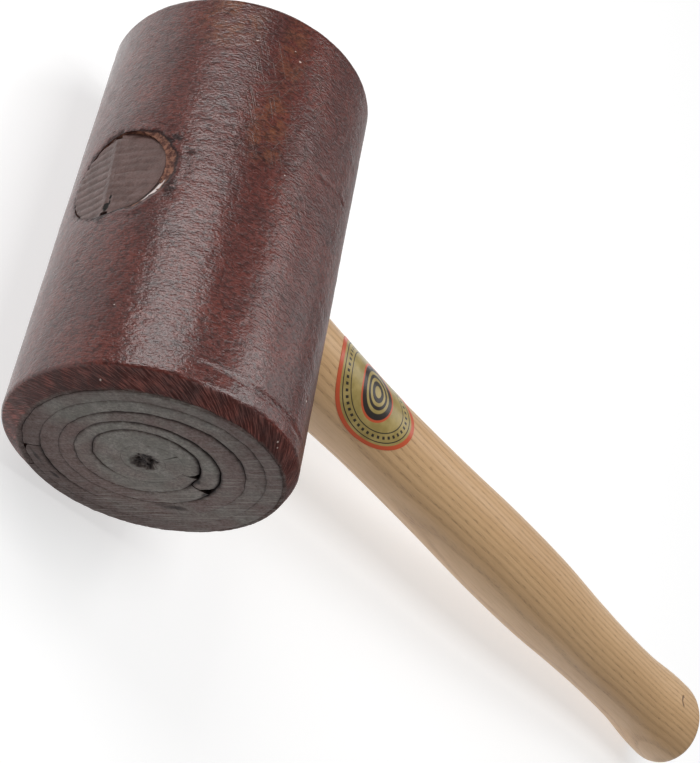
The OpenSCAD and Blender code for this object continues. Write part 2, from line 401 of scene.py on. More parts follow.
def side_gap(w):
    """Half the gap of the seam along a strip's side, which is open only near the faces."""
    opened = np.exp(-(FACE_Y - np.abs(SIDE_DEPTHS)) / 1.3)
    return 0.02 + (seam_gap(w)[:, None] - 0.012) * opened


def strip_loops(w, inner, outer):
    """Closed loops round a strip's section at each winding position: front, outside, rear and inside."""
    at = w[:, None]
    low, high = (inner + seam_gap(w))[:, None], (outer - seam_gap(w + TURN))[:, None]
    r = low + (high - low) * clustered(17)
    face = coil_points(r, at, 0)
    lips = lip_depth(at, r - low) + lip_depth(at + TURN, high - r)
    front, rear = face.copy(), face.copy()
    front[..., 1] = -FACE_Y + face_relief(face, FRONT_SEED) + lips
    rear[..., 1] = FACE_Y - face_relief(face, REAR_SEED) - lips
    out_y, in_y = (side_y(front[:, edge, 1], rear[:, edge, 1]) for edge in (-1, 0))
    out_side = coil_points(outer[:, None] - side_gap(w + TURN), at, out_y)
    in_side = coil_points(inner[:, None] + side_gap(w), at, in_y)
    return np.concatenate([front, out_side, rear[:, ::-1], in_side[:, ::-1]], axis=1)


def winding(w0, w1):
    """Winding positions from w0 to w1, about STEP millimetres apart along the strip."""
    middle = float(seam_r((w0 + w1) / 2 + TURN / 2))
    return np.linspace(w0, w1, max(12, int((w1 - w0) * QUARTER * middle / STEP)))


def hide_strip(name, index):
    """One wound strip, its tail end cut on a slant so that it leaves a small open notch."""
    w0, w1 = STRIP_STARTS[index], STRIP_STARTS[index + 1]
    slant, reach, gap = TAIL_CUTS[index]
    last = w1 - gap / float(seam_r(w1)) / QUARTER
    w = winding(w0, last)
    tail = (last - w) * QUARTER * seam_r(w + TURN)
    outer = seam(w + TURN) - slant * np.clip(1 - tail / reach, 0, 1) ** 1.5
    return cut(sweep(name, strip_loops(w, seam(w), outer)), eye_cutter())


def half_space(side):
    """A block that covers the head in front of the eye (side = -1) or behind it (side = 1)."""
    x, z = np.array([(-50, -50), (50, -50), (50, 50), (-50, 50)], float).T
    y = np.array([[0.0], [side * (FACE_Y + 10)]])
    return sweep("half_space", xyz(x, y, z))


def core_roll(name, side):
    """The core of the coil: a disc under the face, closed round its own middle."""
    seed = FRONT_SEED if side < 0 else REAR_SEED
    w = np.linspace(0, TURN, 170, endpoint=False)
    outline = coil_points(seam(w) - seam_gap(w), w, 0)
    middle = np.array([CORE[0], 0, CORE[1]])
    t = np.linspace(0, 1, 22)[1:] ** 0.8
    disc = middle + t[:, None, None] * (outline - middle)
    off_x, _, off_z = np.moveaxis(outline - disc, -1, 0)
    disc[..., 1] = side * (FACE_Y - face_relief(disc, seed) - lip_depth(w, np.hypot(off_x, off_z)))
    middle[1] = side * (FACE_Y - float(face_relief(middle, seed)))
    wall_y = side * np.linspace(FACE_Y - 4, 8, 8)[:, None]
    wall = xyz(outline[:, 0], wall_y, outline[:, 2])
    return cut(sweep(name, np.concatenate([disc, wall]), middle), eye_cutter())


# ---- The outer wrap ----

def span(x, low, high, soft):
    """1 between low and high, fading to 0 within soft outside them."""
    return smooth(low - soft, low, x) * (1 - smooth(high, high + soft, x))


def wall_relief(angle, y):
    """How far the lacquered wall lies below its true radius."""
    x, z = HEAD_R * np.cos(angle), HEAD_R * np.sin(angle)
    p = xyz(x, y, z)
    deg = np.degrees(angle) % 360
    low = 0.1 * fbm(p, 26.0, 101, 2) + 0.05 * fbm(p, 5.0, 103, 2) + 0.03 * fbm(p, 1.7, 105, 2)
    low += 0.02 * fbm(p, 1.1, 107, 2, stretch=(7, 1, 7))
    # a groove round the wall near the front face, and the slightly lower band outside it
    ring_y = -FACE_Y + 8.6 + 0.5 * fbm(p, 20.0, 109, 1)
    low += (0.24 * bump(y, ring_y, 1.1) + 0.1 * (y < ring_y)) * span(deg, 66, 125, 12)
    # two slanting dents, four turning lines and the chatter of the lathe's tool
    low += 0.25 * bump(y, 16.6 - 0.08 * (deg - 70), 0.6) * span(deg, 70, 92, 5)
    low += 0.1 * bump(y, 6.2 - 0.12 * (deg - 136), 0.7) * span(deg, 120, 150, 5)
    for at in (-6.5, -3.4, 9.6, 12.3):
        low += 0.06 * bump(y, at, 0.8) * span(deg, 128, 150, 8)
    chatter = np.sin(y * 3.6 + 2 * fbm(p, 15.0, 111, 1))
    low += 0.035 * chatter * span(y, -56, -44, 5) * span(deg, 150, 195, 12)
    for at, along, size in CHIPS:
        arc = np.radians((deg - at + 180) % 360 - 180) * HEAD_R
        low += 0.25 * np.exp(-(arc ** 2 + (y - along) ** 2) / (0.5 * size) ** 2)
    return low + eye_relief(x, y, z)


def eye_relief(x, y, z):
    """The worn lip of the eye, and on the far side of the handle the scrape beside the tenon's end."""
    from_eye = np.hypot(y, z) - EYE_R
    past = np.clip(from_eye, 0, None)
    lip = np.where(z < 0, 0.34 * np.exp(-past / 1.1), 0.2 * np.exp(-past / 0.5))
    scrape_edge = np.hypot(y + 0.2, z - 3.3) - 13.0 + 0.525 * fbm(xyz(x, y, z), 2.5, 113, 2)
    scrape = 0.95 * (1 - smooth(-1.4, 0.5, scrape_edge)) * smooth(3, 9, z)
    pucker = 0.12 * bump(scrape_edge, 2.4, 3.2) * smooth(0, 8, z)
    grip_side = 0.12 * np.exp(-np.clip(from_eye - 0.7, 0, None) / 0.6)
    return np.where(x < 0, lip + scrape + pucker, grip_side)


def wrap_ends(inner, angle):
    """Radius and depth of the wrap's end at each winding position: its face, chamfer and rounded rim."""
    r = inner[:, None] + (HEAD_R - inner[:, None]) * clustered(24, 0.4)
    width = chamfer_width(angle)[:, None]
    past = r - HEAD_R + width
    eased = 0.5 * (past + np.sqrt(past ** 2 + 0.35 ** 2)) - 0.06
    rim = 0.55 * np.exp(-(HEAD_R - r) / 0.28)
    return r, np.clip(eased, 0, None) * CHAMFER / width + rim


def hide_wrap(name):
    """The outermost strip, turned to the wall and chamfered at both ends."""
    w = np.linspace(STRIP_STARTS[5], STRIP_STARTS[6] - 0.5 / HEAD_R / QUARTER, 330)
    at, angle = w[:, None], QUARTER * (1 - w)
    inner = seam(w)
    end_r, end_y = wrap_ends(np.minimum(inner + seam_gap(w), HEAD_R - 0.5), angle)
    walls = np.linspace(-FACE_Y + CHAMFER + 1.1, FACE_Y - CHAMFER - 1.1, 152)
    wall_r = np.full((len(w), len(walls)), HEAD_R)
    r = np.concatenate([end_r, wall_r, end_r[:, ::-1]], 1)
    y = np.concatenate([end_y - FACE_Y, wall_r * 0 + walls, FACE_Y - end_y[:, ::-1]], 1)
    a = np.broadcast_to(angle[:, None], r.shape)
    p = coil_points(r, at, y)
    on_end = smooth(HEAD_R - 0.05, HEAD_R - 0.6, r)
    dressed = (0.06 * fbm(p, 3.0, 121, 3) + 0.04 * fbm(p, 0.9, 125, 2)) * on_end
    worn = (face_relief(p, FRONT_SEED) - chamfer_depth(r, a)) * on_end
    lips = lip_depth(at, r - r[:, :1]) * on_end
    y = y - np.sign(y) * (dressed + worn + lips)
    r = r - wall_relief(a, y) * (1 - on_end) - np.abs(dressed) * smooth(0, 1.5, r - r[:, :1])
    in_r = np.minimum(inner[:, None] + side_gap(w), r[:, :1])
    inside = coil_points(in_r, at, side_y(y[:, 0], y[:, -1]))
    loops = np.concatenate([coil_points(r, at, y), inside[:, ::-1]], axis=1)
    return cut(sweep(name, loops), eye_cutter())


# ---- Handle, wedge and label ----

def across_kerf(y, z):
    """Distances of a point of the tenon's end along the kerf and up from it."""
    c, s = math.cos(WEDGE_TURN), math.sin(WEDGE_TURN)
    return y * c + z * s, z * c - y * s - WEDGE_OFFSET


def from_kerf(along, up):
    """The point of the tenon's end at those distances along the kerf and up from it."""
    c, s = math.cos(WEDGE_TURN), math.sin(WEDGE_TURN)
    up = up + WEDGE_OFFSET
    return along * c - up * s, along * s + up * c


def rasp_grooves(y, z):
    """Depth of the rasp's grooves in the tenon's end, from 0 to 1: faint above the kerf."""
    along, up = across_kerf(y, z)
    phase = math.pi * (along + 0.1 * up + 0.6 * fbm(xyz(0, y, z), 9.0, 131, 1)) / GROOVE_SPACING
    return (1 - np.abs(np.sin(phase)) ** 0.7) * np.where(up > 0, 0.45, smooth(0.4, 1.8, -up))


def kerf_chip(y, z):
    """How far the wood has broken away at the front end of the kerf, from 0 to 1."""
    along, up = across_kerf(y, z)
    chip = np.exp(-((along + 10.4) / 1.2) ** 2 - ((up - 0.3) / 0.8) ** 2)
    split = 0.7 * np.exp(-((along + 8.0) / 1.8) ** 2 - ((up - 1.1) / 0.3) ** 2)
    ragged = 1 + 0.9 * fbm(xyz(0, y, z), 1.1, 137, 2)
    return np.clip(np.maximum(chip, split) * ragged, 0, 1)


def trimmed_x(y, z):
    """Where the two flat cuts across the tenon's end lie, with the rasp's grooves in them."""
    _, up = across_kerf(y, z)
    x = -HEAD_R + 0.35 + np.where(up > 0, up * math.tan(UPPER_CUT), -up * math.tan(LOWER_CUT))
    x = x + GROOVE_DEPTH * rasp_grooves(y, z) + CHIP_DEPTH * kerf_chip(y, z)
    return x + 0.06 * fbm(xyz(0, y, z), 1.6, 133, 2)


def grip_ring(x, w, h):
    """An oval ring of the handle, with half-width w and half-height h."""
    a = full_turn(HANDLE_SIDES)
    return xyz(x, w * np.cos(a), h * np.sin(a))


def handle(name):
    """The ash handle, from the trimmed end of its tenon to the rounded butt."""
    a = full_turn(HANDLE_SIDES)
    end_r = EYE_R * np.linspace(0, 1, 30)[1:, None]
    y, z = end_r * np.cos(a), end_r * np.sin(a)
    cap = xyz(trimmed_x(y, z), y, z)
    cap[-1, :, 0] += 0.1
    u = np.linspace(0, 1, 22)[1:, None]
    x = cap[-1, :, 0] * (1 - u) + TENON_END * u
    tenon = xyz(x, eye_radius(x) * np.cos(a), eye_radius(x) * np.sin(a))
    body = [grip_ring(x, grip_w(x), grip_w(x) * grip_ratio(x))
            for x in np.arange(TENON_END + 1.1, HANDLE_END - BUTT_ROUND - 0.5, 1.6)]
    butt = [grip_ring(*butt_ring(v)) for v in np.radians(np.linspace(0, 90, 9))]
    x, w, h = butt_ring(math.pi / 2)
    disc = [grip_ring(x + BUTT_CROWN * (1 - u * u), w * u, h * u) for u in np.linspace(1, 0, 14)[1:-1]]
    loops = np.concatenate([cap, tenon, body, butt, disc])
    soft = 0.06 * fbm(loops, 30.0, 141, 2, stretch=(3, 1, 1))
    soft = soft + 0.012 * fbm(loops, 2.0, 143, 2, stretch=(9, 1, 1))
    fade = smooth(34, 44, loops[..., 0])
    radial = loops * np.array([0, 1, 1])
    length = np.linalg.norm(radial, axis=-1, keepdims=True)
    loops = loops + radial / np.maximum(length, 1) * (soft * fade)[..., None]
    tips = (float(trimmed_x(0.0, 0.0)), 0, 0), (float(x) + BUTT_CROWN, 0, 0)
    return cut(sweep(name, loops, *tips), kerf_cutter())


def kerf_cutter():
    """The saw cut for the wedge, which has spread it towards the head's wall."""
    x = -HEAD_R - 1 + np.array([0, WEDGE_LEN, KERF_LEN, KERF_LEN, WEDGE_LEN, 0])
    up = np.array([-WEDGE_T, -KERF_T, -KERF_T, KERF_T, KERF_T, WEDGE_T]) / 2
    y, z = from_kerf(np.array([[-EYE_R - 3], [EYE_R + 3]]), up)
    return sweep("kerf", xyz(x, y, z))


def wedge(name):
    """The wedge, its driven end cut off with the tenon's and burred a little proud of it."""
    top = [(0.0, t) for t in np.linspace(-1, 1, 9)]
    side = [(u, 1.0) for u in np.linspace(0, 1, 8)[1:]]
    u, t = np.array(top + side + [(u, -1.0) for u, _ in reversed(side)]).T
    along = np.linspace(-WEDGE_W / 2, WEDGE_W / 2, 60)[:, None]
    y, z = from_kerf(along, t * ((WEDGE_T - 0.1) * (1 - u) + (KERF_T - 0.1) * u) / 2)
    flush = trimmed_x(y, z) - 0.03 + 0.05 * fbm(xyz(0, y, z), 2.4, 151, 2)
    x = flush * (1 - u) + (WEDGE_LEN - HEAD_R - 1) * u
    return sweep(name, xyz(x, y, z))


def grip_surface(x, arc, lift):
    """A point lifted off the grip at distance x, arc millimetres from its top towards the front."""
    w = grip_w(x)
    h = w * grip_ratio(x)
    turn = arc / w
    return xyz(x, -(w + lift) * np.sin(turn), (h + lift) * np.cos(turn))


def label(name):
    """The oval foil label, a thin skin that follows the handle's upper side."""
    rings = 26
    a = full_turn(120)
    u = np.concatenate([np.linspace(0, 1, rings)[1:], [1.0], np.linspace(1, 0, rings)[1:-1]])[:, None]
    thick = np.where(np.arange(len(u)) < rings - 1, LABEL_T, 0.0)[:, None]
    x = LABEL_AT + LABEL_L / 2 * u * np.cos(a)
    arc = LABEL_W / 2 * u * np.sin(a)
    flat = xyz(x, arc, 0)
    curl = 0.06 * smooth(0.93, 1.0, u) * (fbm(flat, 9.0, 163, 1) > 0.1)
    crease = 0.025 * fbm(flat, 6.0, 161, 2) + curl
    tips = grip_surface(LABEL_AT, 0.0, np.array([LABEL_T, 0.0]))
    obj = sweep(name, grip_surface(x, arc, thick + crease), *tips)
    uv = obj.data.uv_layers.new(name="print")
    coords = np.concatenate([np.stack([x - LABEL_AT, arc], -1).reshape(-1, 2), np.zeros((2, 2))])
    for loop in obj.data.loops:
        uv.data[loop.index].uv = coords[loop.vertex_index]
    return obj


# ---- Stains painted on the faces ----

def seam_dirt(x, z):
    """Darkening along the seams at a point of the face: a dark line, partly dirt held in the seam and
    partly painted shade in its gap, with a faint halo.
    """
    r = np.hypot(x, z)
    w = winding_at(x, z)
    dirt = np.zeros_like(r)
    for here in (w + TURN * k for k in range(TURNS)):
        off = r - seam(here)
        line = 0.82 * bump(off, 0, 1.0) + 0.28 * bump(off, 0, 2.6)
        # the seam's dark line: partly dirt, partly painted shade in its gap
        dirt = np.maximum(dirt, seam_strength(here) ** 1.2 * line * (here < STRIP_STARTS[-1]))
    return dirt


def face_stains(p):
    """The darkening and the brown tint at points p of the worn faces, both from 0 to 1. The darkening is
    dirt in the stains, and dirt with painted shade in the seams and the torn pit.
    """
    x, z = p[:, 0], p[:, 2]
    flat = xyz(x, 3.0, z)
    dirt = seam_dirt(x, z) * (1 + 0.5 * fbm(flat, 2.0, 173, 2))
    pit = 1 - smooth(2.2, 4.2, pit_distance(x, z, flat, FRONT_SEED))
    # the torn pit darkened: partly dirt, partly painted shade in the hollow
    dirt = np.maximum(dirt, pit * (0.75 + 0.7 * fbm(flat, 1.0, 175, 2)))
    for at_x, at_z, half_l, half_w, lean, share in STAINS:
        c, s = math.cos(math.radians(lean)), math.sin(math.radians(lean))
        along = (x - at_x) * c + (z - at_z) * s
        aside = (z - at_z) * c - (x - at_x) * s
        reach = np.hypot(along / half_l, aside / half_w) + 0.5 * fbm(flat, 2.5, 177, 2)
        dirt = np.maximum(dirt, share * (1 - smooth(0.3, 1.15, reach)))
    return dirt, brown_tint(x, z, flat)


def brown_tint(x, z, flat):
    """How brown the hide is at a point of the face, from strip to strip and towards the rim."""
    r = np.hypot(x, z)
    w = winding_at(x, z)
    turn = sum((r > seam_r(w + TURN * k)).astype(float) for k in range(TURNS))
    places, shares = zip(*BROWN_BANDS)
    brown = np.interp(w + TURN * (turn - 1), places, shares)
    low = smooth(6, -24, x * 0.3 + z)
    light = 0.75 * smooth(-8, -18, x) * smooth(-14, -4, z)
    return brown + smooth(11, 16, r) * (0.35 + 0.5 * low - light) + 0.75 * fbm(flat, 9.0, 171, 3)


def head_points(obj):
    """The mesh's points in the head's own frame, in millimetres."""
    world = np.empty(len(obj.data.vertices) * 3)
    obj.data.vertices.foreach_get("co", world)
    x, y, z = (world.reshape(-1, 3) / MM - [0, FACE_Y, 0]).T
    c, s = math.cos(TILT), math.sin(TILT)
    return xyz(x * c - z * s, y, z * c + x * s)


def paint(obj, **tones):
    """Stores values from 0 to 1 on the mesh's points, for the materials to read."""
    for name, values in tones.items():
        obj.data.attributes.new(name, "FLOAT", "POINT").data.foreach_set("value", np.clip(values, 0, 1))
    return obj


def paint_face(obj):
    dirt, brown = face_stains(head_points(obj))
    return paint(obj, dirt=dirt, brown=brown)


def paint_rasp(obj, share=1.0):
    """Paints the rasp's grooves, at that share of their depth of tone, and the chip beside the kerf; the
    end grain shows both darker as painted shade.
    """
    _, y, z = head_points(obj).T
    paint(obj, groove=share * rasp_grooves(y, z), dirt=kerf_chip(y, z))


# ---- Materials ----

class Shader:
    """A small helper for building a material's nodes. Most of its methods return a new node's output."""

    def __init__(self, name):
        self.material = bpy.data.materials.new(name)
        self.material.use_nodes = True
        self.tree = self.material.node_tree
        self.bsdf = self.tree.nodes["Principled BSDF"]

    def node(self, kind, settings=None, **inputs):
        """A node with its settings and its inputs, by name or, as i0, i1 and so on, by number."""
        node = self.tree.nodes.new(kind)
        for key, value in (settings or {}).items():
            setattr(node, key, value)
        for key, value in inputs.items():
            numbered = key[0] == "i" and key[1:].isdigit()
            self.feed(node.inputs[int(key[1:]) if numbered else key.replace("_", " ")], value)
        return node

    def feed(self, socket, value):
        """Links a socket to another node's output, or sets it to a constant."""
        if isinstance(value, bpy.types.NodeSocket):
            self.tree.links.new(value, socket)
        else:
            socket.default_value = value

    def math(self, operation, a, b=0.0, clamp=False):
        settings = {"operation": operation, "use_clamp": clamp}
        return self.node("ShaderNodeMath", settings, i0=a, i1=b).outputs[0]

    def chain(self, operation, *values):
        """Joins values one after another with the same operation."""
        return functools.reduce(lambda a, b: self.math(operation, a, b), values)

    plus = functools.partialmethod(chain, "ADD")
    times = functools.partialmethod(chain, "MULTIPLY")
    most = functools.partialmethod(chain, "MAXIMUM")

    def minus(self, a, b):
        return self.math("SUBTRACT", a, b)

    def gap(self, a, b):
        """How far apart two values are."""
        return self.math("ABSOLUTE", self.minus(a, b))

    def length(self, a, b):
        """Length of the vector with these two components."""
        return self.math("SQRT", self.plus(self.times(a, a), self.times(b, b)))

    def vector(self, operation, a, b, out=0):
        return self.node("ShaderNodeVectorMath", {"operation": operation}, i0=a, i1=b).outputs[out]

    def turned(self, vector, axis, angle):
        settings = {"rotation_type": axis + "_AXIS"}
        return self.node("ShaderNodeVectorRotate", settings, Vector=vector, Angle=angle).outputs[0]

    def head_frame(self):
        """Object coordinates turned back to the head's own frame, in millimetres."""
        turned = self.turned(self.node("ShaderNodeTexCoord").outputs["Object"], "Y", -TILT)
        scaled = self.node("ShaderNodeVectorMath", {"operation": "SCALE"}, i0=turned, Scale=1 / MM)
        return self.vector("SUBTRACT", scaled.outputs[0], (0, FACE_Y, 0))

    def painted(self, name):
        """A value stored on the mesh by paint()."""
        return self.node("ShaderNodeAttribute", {"attribute_name": name}).outputs["Fac"]

    def spot(self, wall, at, arc, along, low=0.4, high=1.0):
        """1 inside a soft oval on the unrolled wall.

        Its middle and half-size are in degrees and millimetres round the wall, and in along as a pair.
        """
        middle = (math.radians(at - WALL_AWAY) * HEAD_R, along[0], 0)
        sized = self.vector("DIVIDE", self.vector("SUBTRACT", wall, middle), (arc, along[1], 1e6))
        return self.ramp(self.vector("LENGTH", sized, (0, 0, 0), "Value"), high, low)

    def split(self, vector):
        return self.node("ShaderNodeSeparateXYZ", Vector=vector).outputs

    def join(self, x, y, z):
        return self.node("ShaderNodeCombineXYZ", X=x, Y=y, Z=z).outputs[0]

    def noise(self, vector, size, detail=2.0, rough=0.5, stretch=None, distortion=0.0):
        """Noise from 0 to 1 with features size millimetres across, stretched along each axis if asked."""
        if stretch:
            vector = self.vector("DIVIDE", vector, stretch)
        return self.node("ShaderNodeTexNoise", Vector=vector, Scale=1 / size, Detail=detail,
                         Roughness=rough, Distortion=distortion).outputs["Fac"]

    def cells(self, vector, size, stretch):
        """Distance from the middle of the nearest of many rounded cells, size millimetres across."""
        return self.node("ShaderNodeTexVoronoi", {"feature": "SMOOTH_F1"}, Scale=1 / size,
                         Vector=self.vector("DIVIDE", vector, stretch)).outputs["Distance"]

    def ramp(self, value, low, high, to_low=0.0, to_high=1.0):
        """A smooth step from to_low at low to to_high at high."""
        node = self.node("ShaderNodeMapRange", {"interpolation_type": "SMOOTHSTEP"}, Value=value,
                         From_Min=low, From_Max=high, To_Min=to_low, To_Max=to_high)
        return node.outputs["Result"]

    def mix(self, factor, a, b):
        """Colour a where the factor is 0 and colour b where it is 1."""
        node = self.node("ShaderNodeMix", {"data_type": "RGBA"}, i0=factor)
        for socket, value in ((node.inputs[6], a), (node.inputs[7], b)):
            self.feed(socket, value if isinstance(value, bpy.types.NodeSocket) else (*value, 1.0))
        return node.outputs[2]

    def bump(self, height, distance, strength=1.0):
        return self.node("ShaderNodeBump", Height=height, Strength=strength, Distance=distance).outputs[0]

    def finish(self, color, roughness, normal, **others):
        """The finished material, with these properties."""
        properties = {"Base_Color": color, "Roughness": roughness, "Normal": normal, **others}
        for key, value in properties.items():
            self.feed(self.bsdf.inputs[key.replace("_", " ")], value)
        return self.material


def unrolled(s, point):
    """Coordinates on the unrolled wall: millimetres round it, along it and out from the axis."""
    x, y, z = s.split(point)
    away = math.radians(WALL_AWAY)
    ahead = s.plus(s.times(x, math.cos(away)), s.times(z, math.sin(away)))
    aside = s.minus(s.times(z, math.cos(away)), s.times(x, math.sin(away)))
    arc = s.times(s.math("ARCTAN2", aside, ahead), HEAD_R)
    out = s.length(x, z)
    return s.join(arc, y, 0.0), arc, y, out


def saw_lines(s, point):
    """Fine lines left by the saw across a face."""
    return s.noise(s.turned(point, "Y", -SAW_LEAN), 1.0, stretch=(0.46, 1, 11))


def worn_face_color(s, point, out):
    """Colour of the sawn and worn ends of the strips: grey, browner on some, with dirt and painted shade in
    every recess, and painted shade towards the rim.
    """
    fine = s.ramp(s.noise(point, 0.8, 4, 0.65), 0.3, 0.75)
    patch = s.ramp(s.noise(point, 5.0, 4, 0.65), 0.38, 0.62)
    grey = s.mix(fine, (0.152, 0.138, 0.122), (0.315, 0.293, 0.262))
    grey = s.mix(s.times(patch, 0.62), grey, (0.142, 0.134, 0.116))
    brown = s.mix(fine, (0.104, 0.064, 0.057), (0.225, 0.154, 0.14))
    ground = s.mix(s.painted("brown"), grey, brown)
    # darker towards the rim, most of all low down: painted shade
    low = s.ramp(s.split(point)[2], 2.0, -30.0, 0.15, 0.5)
    ground = s.mix(s.times(s.ramp(out, 15.0, 31.0), low), ground, (0.03, 0.02, 0.018))
    sawn = s.ramp(saw_lines(s, point), 0.52, 0.68)
    sawn = s.times(sawn, s.ramp(s.split(point)[0], -4.0, 16.0, 0.25, 1.0))
    ground = s.mix(sawn, ground, (0.26, 0.228, 0.208))
    broken = s.times(s.minus(s.noise(point, 1.1, 3, 0.65), 0.5), 0.7)
    # dirt, and painted shade in the seams and the pit
    dirt = s.plus(s.painted("dirt"), broken)
    ground = s.mix(s.times(s.ramp(dirt, 0.0, 0.5), 0.75), ground, (0.05, 0.029, 0.026))
    return s.mix(s.ramp(dirt, 0.35, 0.95), ground, (0.018, 0.011, 0.01))


def sanded_color(s, arc, out):
    """Colour of a chamfer, with the slanting marks of the sanding disc, and the marks themselves."""
    across = s.plus(s.times(out, 0.89), s.times(arc, -0.45))
    along = s.plus(s.times(arc, 0.89), s.times(out, 0.45))
    marks = s.ramp(s.noise(s.join(across, along, 0.0), 0.24, 2, 0.55, stretch=(1, 18, 1)), 0.42, 0.64)
    blotch = s.ramp(s.noise(s.join(across, along, 3.0), 5.0, 3, 0.6), 0.35, 0.65)
    red = s.mix(marks, (0.072, 0.018, 0.014), (0.245, 0.078, 0.063))
    dull = s.mix(marks, (0.05, 0.018, 0.016), (0.145, 0.06, 0.052))
    return s.mix(blotch, dull, red), marks


def worn_hide():
    """The striking face: dry, matt end grain of hide."""
    s = Shader("worn_end_of_hide")
    point = s.head_frame()
    _, arc, y, out = unrolled(s, point)
    below = s.minus(FACE_Y, s.math("ABSOLUTE", y))
    chamfer, _ = sanded_color(s, arc, out)
    on_chamfer = s.times(s.ramp(below, 0.5, 1.1), s.ramp(out, 29.5, 30.5))
    color = s.mix(on_chamfer, worn_face_color(s, point, out), chamfer)
    grit = s.noise(point, 0.45, 3, 0.7)
    height = s.plus(s.times(grit, 0.6), s.times(saw_lines(s, point), 0.5))
    roughness = s.ramp(s.noise(point, 3.0), 0.3, 0.7, 0.5, 0.68)
    return s.finish(color, roughness, s.bump(height, 0.00028, 0.6), Specular_IOR_Level=0.25)


def lacquer_color(s, wall):
    """Dark red-brown lacquer: cloudy, mottled, with darker pores and a few worn orange patches."""
    cloud = s.ramp(s.noise(wall, 15.0, 3, 0.6), 0.34, 0.66)
    mottle = s.ramp(s.noise(wall, 1.3, 4, 0.7, stretch=(1.4, 1, 1)), 0.34, 0.68)
    pores = s.ramp(s.noise(wall, 0.6, 3, 0.65), 0.54, 0.68)
    red = s.mix(mottle, (0.096, 0.019, 0.014), (0.166, 0.04, 0.029))
    brown = s.mix(mottle, (0.064, 0.016, 0.013), (0.114, 0.031, 0.026))
    color = s.mix(cloud, brown, red)
    patches = s.spot(wall, 121, 6.5, (18, 15)), s.spot(wall, 146, 11, (50, 14))
    patches = s.most(*patches, s.times(s.spot(wall, 118, 5, (44, 18)), 0.7))
    worn = s.times(patches, s.ramp(s.noise(wall, 4.0, 4, 0.7), 0.36, 0.62))
    color = s.mix(s.times(worn, 0.75), color, s.mix(mottle, (0.14, 0.04, 0.015), (0.23, 0.08, 0.034)))
    return s.mix(s.times(pores, 0.6), color, (0.02, 0.006, 0.005))


def scratches(s, wall):
    """Fine pale scratches that cross at several angles, in a few areas of the wall."""
    strokes = [s.noise(s.turned(wall, "Z", lean), 0.9, 1, 0.4, stretch=(0.55, 16, 1), distortion=0.25)
               for lean in (0.35, 1.25, 2.2, 2.75)]
    lines = s.most(*(s.ramp(stroke, 0.64, 0.72) for stroke in strokes))
    area = s.most(s.spot(wall, 107, 9, (22, 34), 0.5), s.spot(wall, 127, 7, (28, 26)))
    return s.times(lines, s.plus(s.times(area, 0.85), 0.12))


def hide_grain(s, wall):
    """Height of the lacquered grain, with turning lines, creases between pebbles and the scratches."""
    lines = scratches(s, wall)
    turned = s.noise(wall, 0.38, 1, 0.4, stretch=(3.4, 0.8, 1))
    grain = s.noise(wall, 0.4, 2, 0.55, stretch=(1.3, 1, 1))
    pebble = s.cells(wall, 0.64, (1.5, 0.9, 1))
    height = s.plus(s.times(turned, 0.3), s.times(grain, 0.45), s.times(pebble, -0.45))
    return s.plus(height, s.times(lines, -0.25)), lines


def scrape(s, point, below, out):
    """Where the scrape beside the tenon has bared the hide, its darkened edge, partly stain and partly
    painted shade in the hollow, and the bare hide's colour.
    """
    depth = s.plus(s.minus(HEAD_R, out), s.times(s.noise(point, 1.2), 0.5))
    near_wall = s.times(s.ramp(below, 8.0, 12.0), s.ramp(out, HEAD_R - 3.0, HEAD_R - 2.4))
    scraped = s.times(s.ramp(depth, 0.6, 0.9), near_wall)
    # the scrape's sloping edge: partly stain, partly painted shade in the hollow
    stain_and_shade = s.times(s.ramp(depth, 0.32, 0.54), near_wall, 0.9)
    fibres = s.ramp(s.noise(point, 1.3, 4, 0.65), 0.42, 0.6)
    return scraped, stain_and_shade, s.mix(fibres, (0.085, 0.032, 0.024), (0.27, 0.125, 0.082))


def rim_gap_shade_and_glint(s, point):
    """The dark line of painted shade in the gap beside the front of the tenon, and the pale painted glint
    along the lip beside it.
    """
    x, y, z = s.split(point)
    from_axis = s.length(y, z)
    beside = s.times(s.ramp(y, -2.5, -5.0), s.ramp(z, -2.5, 0.0), s.ramp(x, -20, -24))
    # painted shade in the gap beside the tenon
    rim_gap_shade = s.times(s.ramp(from_axis, EYE_R + 0.95, EYE_R + 0.6), beside)
    # a painted glint along the lip
    lip = s.times(s.ramp(s.gap(from_axis, EYE_R + 1.25), 0.5, 0.25), beside)
    lip = s.times(lip, s.ramp(y, -10.4, -9.0), s.ramp(s.noise(point, 1.6), 0.36, 0.46))
    return rim_gap_shade, lip


def smudge_and_shade(s, point, wall):
    """The dark smudges on the wall round the eye, partly painted shade beside its rim."""
    spots = s.most(*(s.spot(wall, at, arc, along, 0.3) for at, arc, along in SMUDGES_AND_SHADE))
    return s.times(spots, s.ramp(s.noise(point, 1.1, 3, 0.6), 0.34, 0.52))


